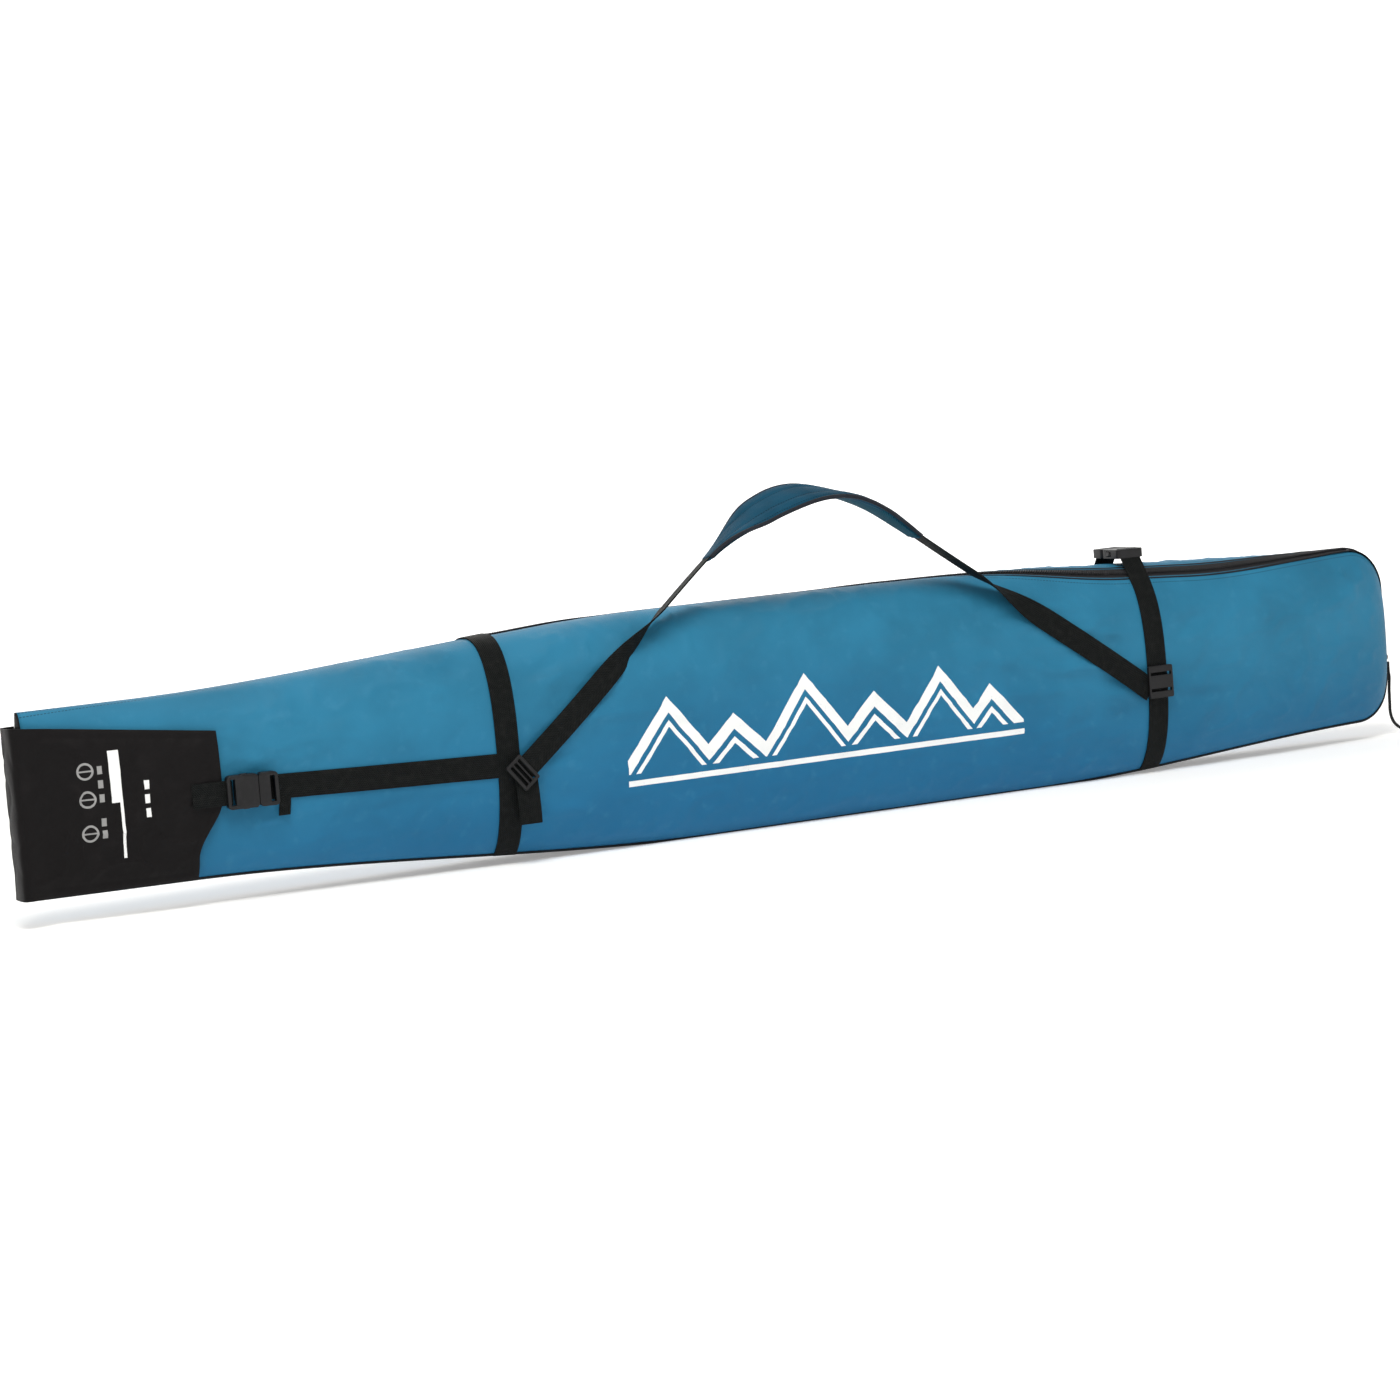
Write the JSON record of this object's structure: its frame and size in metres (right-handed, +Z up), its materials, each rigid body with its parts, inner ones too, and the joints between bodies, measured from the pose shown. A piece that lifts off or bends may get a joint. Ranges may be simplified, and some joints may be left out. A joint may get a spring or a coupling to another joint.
{
  "type": "ski bag",
  "caption": "Long soft bag for a pair of skis, with a full-length zip, ring straps, a folded tail flap held by a buckle, and a padded shoulder strap.",
  "frame": {"origin": "middle of the flat base strip on which the bag rests, at half of its length", "axes": "+X along the bag from the folded tail to the tip, -Y out of the front face with the shoulder strap, +Z up to the zip"},
  "size_m": [1.699, 0.1385, 0.3575],
  "materials": {
    "shell_fabric": "coated woven polyester, satin",
    "dark_fabric": "coated woven polyester, matte",
    "zip_tape": "woven tape, matte",
    "zip_teeth": "nylon coil, satin",
    "zip_metal": "black enamel, satin",
    "webbing": "ribbed polypropylene webbing",
    "hardware": "moulded acetal, semi gloss",
    "cord": "braided cord",
    "cord_end": "moulded plastic",
    "pad_fabric": "woven polyester, matte",
    "pad_foam": "closed-cell foam",
    "pad_mesh": "spacer mesh",
    "binding": "folded binding tape"
  },
  "bodies": {
    "shell": {"front_panel": "shell_fabric", "base_panel": "dark_fabric", "back_tail_panel": "shell_fabric", "tail_top_panel": "shell_fabric", "tail_end_panel": "dark_fabric", "front_zip_tape": "zip_tape", "front_zip_teeth": "zip_teeth", "zip_start_stop": "zip_metal", "zip_end_stop": "zip_metal", "left_ring_strap": "webbing", "right_ring_strap_front": "webbing", "top_buckle_socket": "hardware", "left_anchor_tab": "webbing", "left_strap_tail": "webbing", "right_anchor_tab": "webbing", "right_tri_glide": "hardware", "tail_strap": "webbing", "tail_strap_end": "webbing"},
    "strap_lock": {"left_ladder_lock": "hardware"},
    "opening_back": {"back_panel": "shell_fabric", "back_zip_tape": "zip_tape", "back_zip_teeth": "zip_teeth", "right_ring_strap_back": "webbing", "top_buckle_plug": "hardware", "top_buckle_prongs": "hardware"},
    "folding_tail": {"tail_flap": "dark_fabric", "tail_fold_roll": "dark_fabric", "tail_flap_tab": "webbing", "tail_buckle_socket": "hardware"},
    "tail_plug": {"tail_buckle_plug": "hardware", "tail_buckle_prongs": "hardware"},
    "slider": {"zip_slider": "zip_metal", "pull_cord": "cord", "pull_cord_end": "cord_end"},
    "shoulder_strap": {"left_shoulder_webbing": "webbing", "right_shoulder_webbing": "webbing", "pad_cover": "pad_fabric", "pad_foam": "pad_foam", "pad_lining": "pad_mesh", "pad_binding_front": "binding", "pad_binding_back": "binding"}
  },
  "joints": [
    {"name": "back_panel_open", "type": "hinge", "parent": "shell", "child": "opening_back", "pos_m": [0.3, 0.034, 0.003], "axis": [-1, 0, 0], "range_deg": [0, 48], "deforming": ["top_buckle_prongs"]},
    {"name": "tail_flap_unfold", "type": "hinge", "parent": "shell", "child": "folding_tail", "pos_m": [-0.818, -0.017, 0.115], "axis": [0, 0, -1], "range_deg": [0, 178]},
    {"name": "tail_buckle_release", "type": "slide", "parent": "shell", "child": "tail_plug", "axis": [0.9947, -0.1026, 0], "range_m": [0, 0.03], "deforming": ["tail_buckle_prongs"]},
    {"name": "zip_slider_travel", "type": "slide", "parent": "shell", "child": "slider", "axis": [0, 0, 1], "range_m": [0, 0.066]},
    {"name": "shoulder_strap_swing", "type": "hinge", "parent": "shell", "child": "shoulder_strap", "pos_m": [0.08, -0.0675, 0.093], "axis": [1, 0, 0], "range_deg": [0, 104]},
    {"name": "strap_lock_tilt", "type": "hinge", "parent": "shell", "child": "strap_lock", "pos_m": [-0.30813, -0.0689, 0.09118], "axis": [0.6322, 0, -0.7748], "range_deg": [0, 25]}
  ]
}
